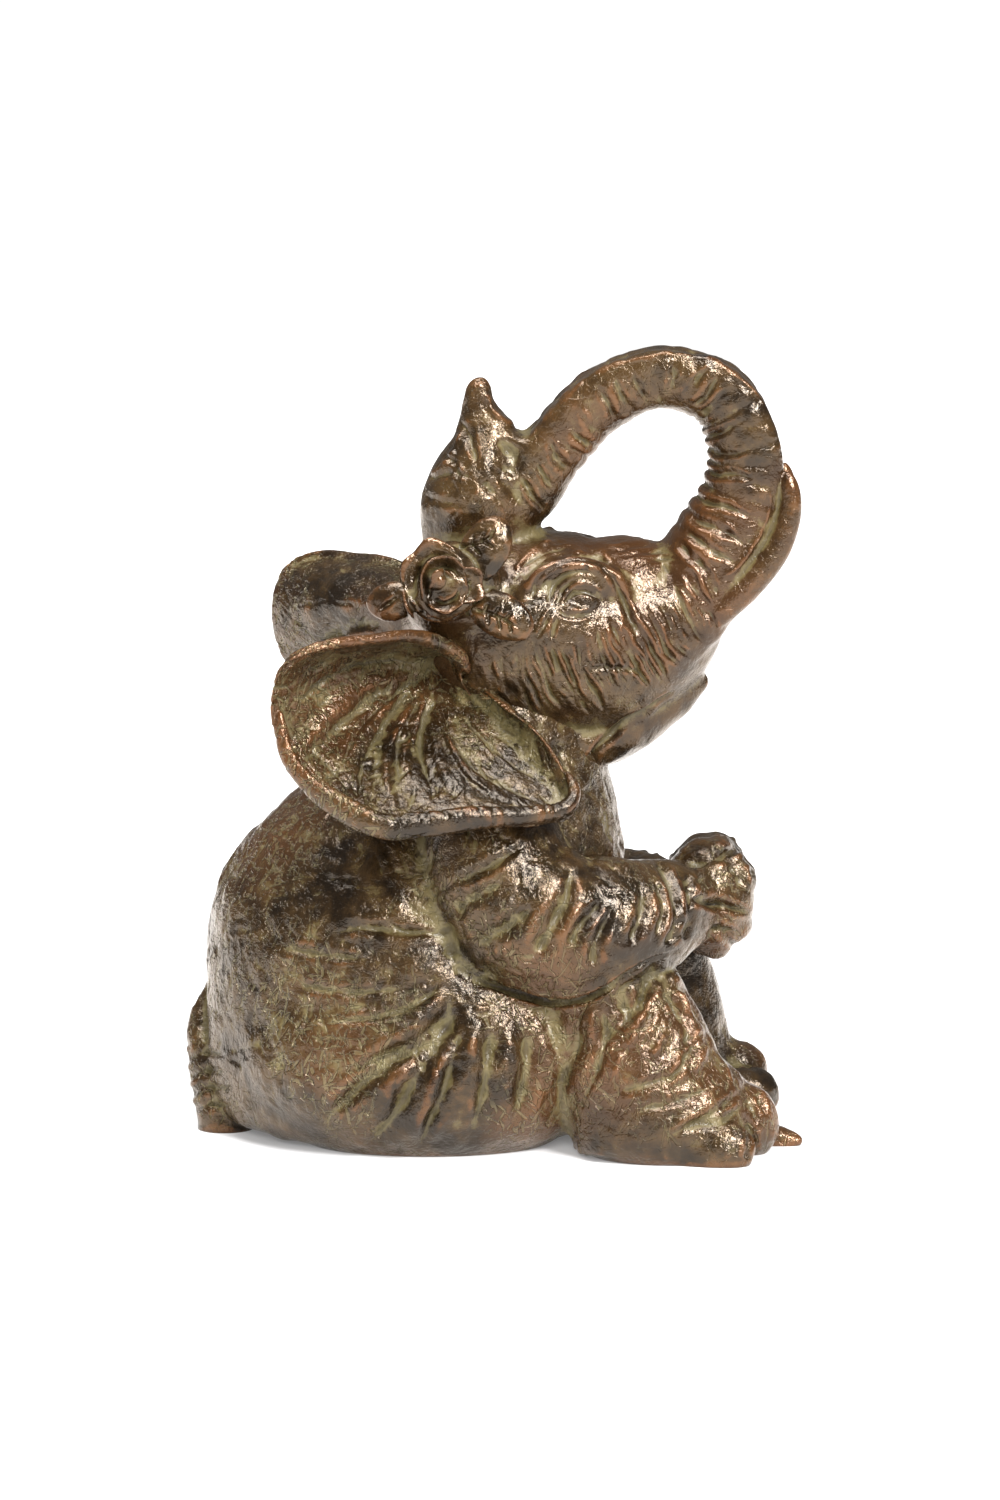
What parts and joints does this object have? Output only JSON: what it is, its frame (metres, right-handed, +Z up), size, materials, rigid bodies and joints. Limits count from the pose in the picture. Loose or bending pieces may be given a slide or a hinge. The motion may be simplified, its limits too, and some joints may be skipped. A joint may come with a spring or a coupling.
{
  "type": "elephant sculpture",
  "caption": "Seated elephant figure in dark patinated bronze, trunk curled back over the brow, ears spread, a rose by the ear; stands on its flat underside.",
  "frame": {"origin": "on the flat underside, below the front of the belly, in the figure's middle plane", "axes": "+X the way the elephant faces, +Y to its left, +Z up from the underside"},
  "size_m": [0.0961, 0.0792, 0.122],
  "materials": {
    "bronze": "dark brown patina, waxed to a soft gloss, green in the recesses and reddish where it is rubbed"
  },
  "bodies": {
    "root": {"bronze_elephant": "bronze"}
  },
  "joints": []
}
